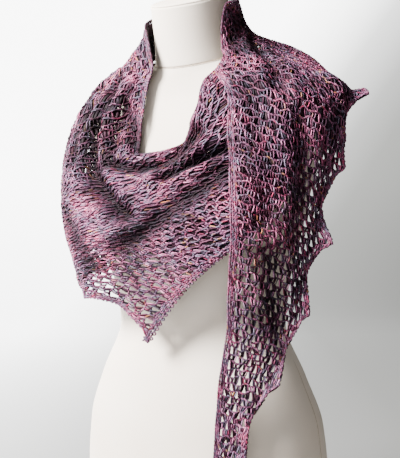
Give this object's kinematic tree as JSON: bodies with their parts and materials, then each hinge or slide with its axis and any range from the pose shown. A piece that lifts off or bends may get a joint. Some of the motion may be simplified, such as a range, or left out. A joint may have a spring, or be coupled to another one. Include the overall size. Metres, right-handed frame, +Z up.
{
  "type": "crocheted shawl on a limbless dress form",
  "caption": "Narrow crocheted lace shawl with a toothed edge, wound round a limbless dress form as a cowl with its tail hanging down the front.",
  "frame": {"origin": "centre of the dress form's flat underside, where it stands on a table", "axes": "+Z up along the form's height, -Y towards the form's front, +X towards the wearer's own left"},
  "size_m": [0.458, 0.2754, 0.8304],
  "materials": {
    "yarn": "matt variegated yarn, mauve, plum and slate with gold and pink flecks",
    "linen": "matt cream cotton cover",
    "wood": "satin dark brown varnish"
  },
  "bodies": {
    "root": {"form_body": "linen", "form_neck": "linen", "form_neck_cap": "linen", "form_finial": "wood", "shawl_tail_front": "yarn", "shawl_left_shoulder": "yarn", "shawl_back": "yarn", "shawl_right_shoulder": "yarn", "shawl_front_cowl": "yarn"}
  },
  "joints": []
}
